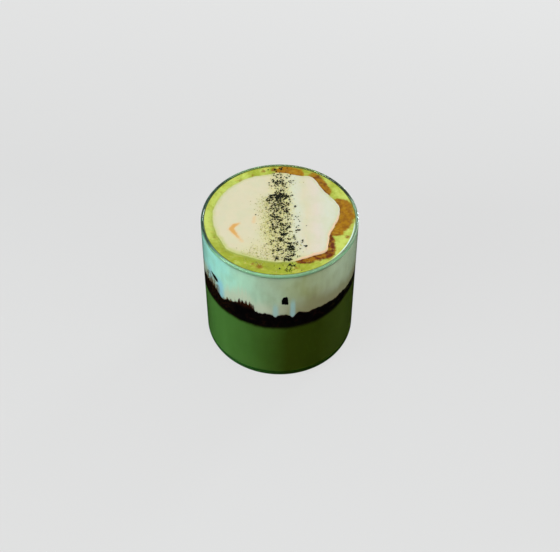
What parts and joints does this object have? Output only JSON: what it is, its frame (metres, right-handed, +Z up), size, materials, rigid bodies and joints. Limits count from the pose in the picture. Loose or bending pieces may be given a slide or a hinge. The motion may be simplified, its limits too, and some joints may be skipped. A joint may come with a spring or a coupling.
{
  "type": "iced matcha einspanner in a glass tumbler",
  "caption": "Layered iced drink in a straight clear tumbler: green tea, dark coffee and thick cream, with a green wash, coffee swirls and tea powder on top.",
  "frame": {"origin": "centre of the glass's foot, on the surface that it stands on", "axes": "+Z up along the glass's axis; the picture's camera looks along +Y and down, with +X to its right"},
  "size_m": [0.078, 0.078, 0.0799],
  "materials": {
    "glass": "clear, smooth, with a faint green tint",
    "matcha": "opaque green liquid",
    "coffee": "near-black liquid",
    "cream": "soft satin, thick poured cream",
    "wash": "thin bright green film with fine bubbles",
    "swirl": "thin brown film"
  },
  "bodies": {
    "root": {"glass": "glass", "matcha": "matcha", "coffee": "coffee", "coffee_pocket_front": "coffee", "coffee_pocket_left": "coffee", "cream": "cream", "matcha_wash": "wash", "coffee_swirl_back": "swirl", "coffee_swirl_back_right": "swirl", "coffee_swirl_right": "swirl", "coffee_swirl_front_right": "swirl"}
  },
  "joints": []
}
